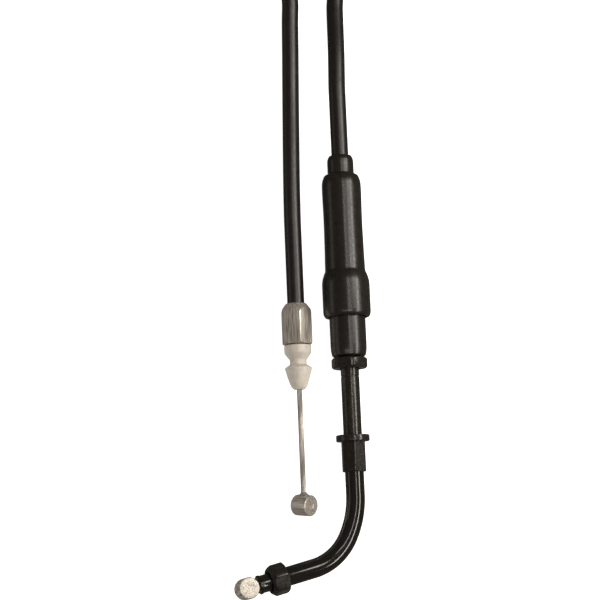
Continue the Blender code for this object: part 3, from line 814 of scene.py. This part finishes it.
def add_boots():
    lower = [
        (4.72, 15.7, 0.3),
        (5.22, 15.1, 0.4),
        (5.22, 3.2, 1.2),
        (5.15, 1.6, 0.6),
        (4.85, 0.35, 0.15),
        (4.55, 0.1, 0.1),
        (3.95, 0.1, 0.05),
        (3.95, 15.7, 0.1),
    ]
    upper = [
        (3.3, 59.3, 0.2),
        (3.85, 58.2, 0.9),
        (3.85, 53.75, 0.3),
        (4.95, 53.45, 0.45),
        (5.7, 51.6, 1.2),
        (5.74, 48, 1.5),
        (5.6, 40, 4),
        (5.72, 31, 3),
        (5.83, 25.0, 0.5),
        (6.25, 24.15, 0.4),
        (6.9, 22.1, 1.2),
        (6.9, 12.5, 0.8),
        (6.35, 11.5, 0.35),
        (5.62, 11.5, 0.15),
        (5.62, 22.6, 0.2),
        (4.2, 23.4, 0.2),
        (4.2, 51.5, 0.2),
        (2.62, 52.5, 0.2),
        (2.62, 59.3, 0.2),
    ]
    turned_piece(
        "lower_rubber_boot", lower, "black_rubber", "adjuster", grip, ("lower_boot",), 0.04
    )
    turned_piece("upper_rubber_boot", upper, "black_rubber", "boot", grip, ("upper_boot",), 0.04)


def add_lock_nut():
    profile = [
        (4.7, -0.3, 0.05),
        (5.3, -0.85, 0.05),
        (5.3, -2.85, 0.05),
        (4.7, -3.4, 0.05),
        (3.3, -3.4, 0.1),
        (3.0, -3.1, 0.05),
        (3.0, -0.6, 0.05),
        (3.3, -0.3, 0.1),
    ]
    shape = hexagonal(profile, 9.7, math.radians(8.6))
    add_piece("hex_lock_nut", shape, "black_plating", "lock_nut", grip, ("lock_nut",))


def add_threaded_tube():
    """Its screw thread starts just above the barrel's mouth; below that it is smooth."""
    shape = bmesh.new()
    smooth = [
        (2.65, 0.4, 0.2),
        (2.65, -5.4, 0.05),
        (2.55, -5.5, 0.05),
        (2.55, -5.8, 0.05),
        (2.65, -5.9, 0.05),
        (2.65, -28.0, 0.1),
        (1.6, -28.0, 0),
        (1.6, 0.4, 0),
    ]
    lathe(shape, smooth)
    thread(shape, 2.95, 2.45, 1.6, 0.3, 19.5)
    add_piece("threaded_pipe", shape, "black_plating", "elbow", grip, ("threaded_tube",))


def add_crimp_collar():
    flange = [
        (4.8, -22.5, 0.3),
        (4.8, -24.35, 0.3),
        (2.75, -24.35, 0),
        (2.75, -22.5, 0.1),
    ]
    sleeve = [
        (3.7, -24.2, 0),
        (3.7, -32.65, 0.15),
        (3.3, -33.0, 0.12),
        (2.75, -33.0, 0.1),
        (2.75, -24.2, 0),
    ]
    shape = hexagonal(sleeve, 6.5, math.radians(3.7), 0.2)
    lathe(shape, flange)
    add_piece("crimped_collar", shape, "black_plating", "elbow", grip, ("crimp_collar",))


def bend_points():
    """The bend's middle line, walked in equal steps of heading."""
    start = grip @ Vector((0, 0, BEND_START))
    forward = -AXIS
    sideways = (EXIT - forward * EXIT.dot(forward)).normalized()
    step = math.acos(EXIT.dot(forward)) / BEND_SEGMENTS
    fine = step / BEND_REFINE
    points = [start]
    for index in range(BEND_SEGMENTS):
        tight = (index + 0.5) * step >= FIRST_BEND_ANGLE
        chord = 2 * (SECOND_BEND_RADIUS if tight else FIRST_BEND_RADIUS) * math.sin(fine / 2)
        for part in range(BEND_REFINE):
            heading = index * step + (part + 0.5) * fine
            direction = forward * math.cos(heading) + sideways * math.sin(heading)
            points.append(points[-1] + direction * chord)
    return points


def add_elbow_pipe(bend):
    """The pipe, drawn in to a nose past the union nut, with a rolled bead at its mouth."""
    # (distance past the bend in mm, share of the pipe's radius)
    nose = [
        (11.15, 1.0),
        (11.6, 0.98),
        (12.15, 0.92),
        (15.9, 0.92),
        (16.1, 0.94),
        (16.25, 0.98),
        (16.45, 1.0),
        (16.65, 1.0),
        (16.85, 0.97),
        (17.0, 0.9),
    ]
    top = straight_points(grip, PIPE_TOP, BEND_START, MM)
    end = bend[-1]
    points = [*top[:-1], *bend, *[end + EXIT * reach * MM for reach, _ in nose]]
    radii = [PIPE_RADIUS] * (len(top) - 1 + len(bend)) + [PIPE_RADIUS * scale for _, scale in nose]
    shape = bmesh.new()
    pipe(shape, points, radii, PIPE_BORE, SMOOTH_SEGMENTS // 2)
    add_piece("bent_pipe", shape, "black_paint", "elbow", None, ("elbow_pipe",))


def add_union_nut():
    """A hexagonal nut whose open front shows the first turns of the thread inside."""
    profile = [
        (3.5, 13.6, 0.1),
        (4.45, 12.4, 0.08),
        (4.45, 9.1, 0.05),
        (3.9, 8.7, 0.05),
        (2.85, 8.7, 0.1),
        (2.85, 10.0, 0),
    ]
    for station in (10.5, 11.3, 12.1, 12.9):
        profile += [(3.25, station, 0), (3.0, station + 0.4, 0.05)]
    profile.append((3.2, 13.6, 0.1))
    shape = hexagonal(profile, 8.0, math.radians(14.5))
    add_piece("hex_union_nut", shape, "black_plating", "union_nut", mouth, ("union_nut",))


def add_grip_wire(bend):
    """The wire's pitch is drawn in where the pull stretches it, so that it comes out even."""
    shape = bmesh.new()
    tail = straight_points(grip, GRIP_WIRE_TOP, BEND_START, MM)
    front = straight_points(mouth, 0, GRIP_NIPPLE_REACH, GRIP_WIRE_STEP)
    points = [*tail[:-1], *bend, *front[1:]]
    turns = []
    travelled = 0.0
    for index, point in enumerate(points):
        reach = min(max((point - BEND_END).dot(EXIT) / MOUTH_REACH, 0), 1)
        if index:
            travelled += (point - points[index - 1]).length
        turns.append(math.tau * (travelled + PULL * reach**2 * (3 - 2 * reach)) / WIRE_LAY)
    wire_rope(shape, points, turns)
    rope = finished_object("grip_rope", shape, "steel")
    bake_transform(rope)
    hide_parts("grip_wire")


def add_grip_end():
    bend = bend_points()
    add_barrel()
    add_boots()
    add_lock_nut()
    add_threaded_tube()
    add_crimp_collar()
    add_elbow_pipe(bend)
    add_union_nut()
    add_grip_wire(bend)
    add_nipple(
        "grip_barrel_nipple",
        "grip_end",
        mouth,
        GRIP_NIPPLE_REACH,
        GRIP_NIPPLE_TURN,
        -1,
        "grip_nipple",
    )


def finish_cad_nodes():
    """The hidden pieces that keep their CAD shape get the finish of their slot."""
    for row in frame["record"]["subparts"]:
        for slot in frame["nodes"][row["node"]].material_slots:
            slot.material = materials[row["material_slot"]]


carb = axis_matrix(CARB_ORIGIN, AXIS)
grip = axis_matrix(GRIP_ORIGIN, AXIS)
mouth = axis_matrix(BEND_END, EXIT)

add_camera()
materials = make_materials()
add_cable()
add_world()
add_floor()
for lamp in LAMPS:
    add_light(*lamp)
finish_cad_nodes()
add_carburettor_end()
add_grip_end()
